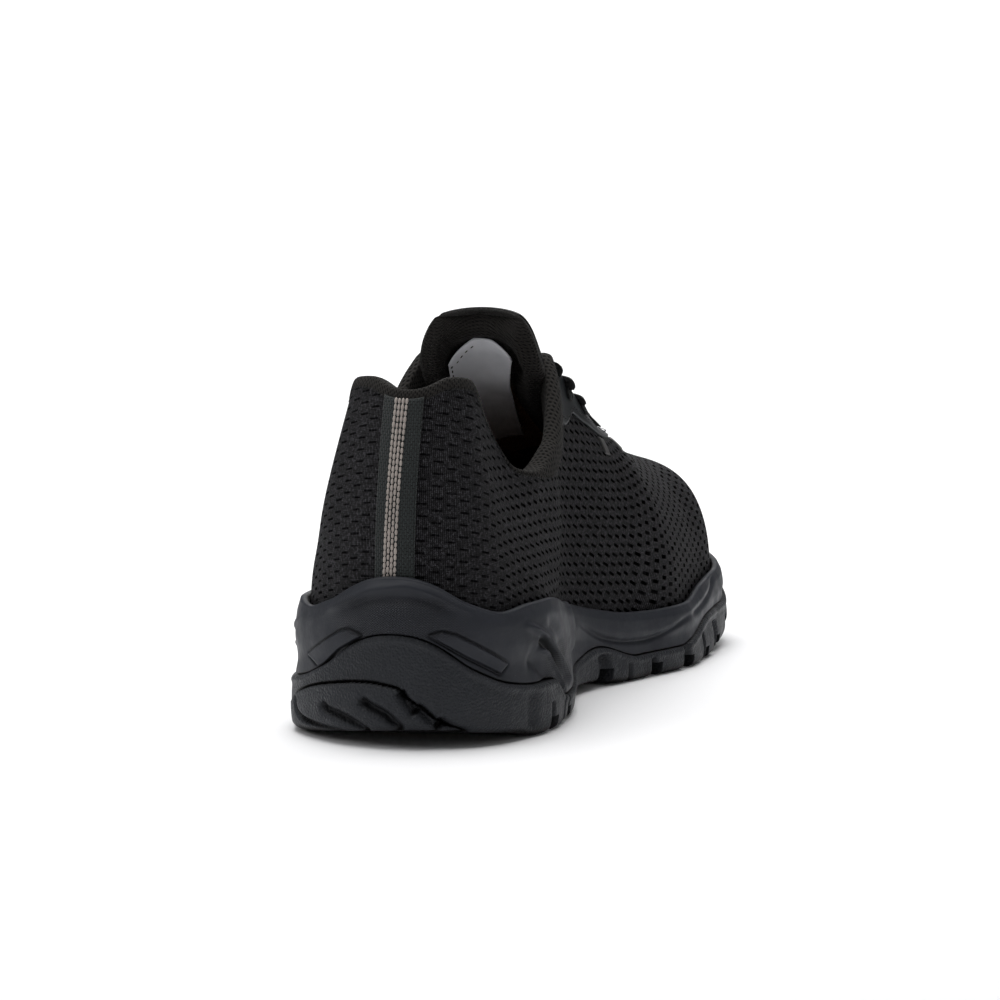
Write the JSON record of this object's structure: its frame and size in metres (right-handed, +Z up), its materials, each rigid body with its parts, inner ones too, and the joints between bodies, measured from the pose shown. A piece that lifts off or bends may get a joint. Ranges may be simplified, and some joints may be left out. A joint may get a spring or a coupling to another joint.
{
  "type": "safety sneaker",
  "caption": "Low-cut lace-up work sneaker for the left foot: hollow fabric upper, padded collar and tongue, cupped midsole with a waved edge and a lugged rubber outsole.",
  "frame": {"origin": "middle of the shoe's box in plan, on the floor", "axes": "+Y from the heel to the toe, +X to the inner side of the left foot, +Z up"},
  "size_m": [0.1122, 0.3022, 0.1371],
  "materials": {
    "outsole": "matt moulded rubber with a leather-like grain",
    "midsole": "satin moulded foam, ribbed in places",
    "insole": "brushed fabric",
    "upper": "ribbed open mesh",
    "lining": "padded spacer mesh",
    "film": "smooth satin film",
    "webbing": "woven webbing",
    "reflective": "woven reflective yarn",
    "label": "smooth woven label, bare",
    "lace": "braided cord"
  },
  "bodies": {
    "root": {"outsole": "outsole", "midsole": "midsole", "insole": "insole", "upper": "upper", "collar_lining": "lining", "tongue": "lining", "tongue_tab": "film", "tongue_label": "label", "heel_tape": "webbing", "eyestay_inner": "film", "eyestay_outer": "film", "lace": "lace", "mark_inner_1": "reflective", "mark_inner_2": "reflective", "mark_outer_1": "reflective", "mark_outer_2": "reflective"}
  },
  "joints": []
}
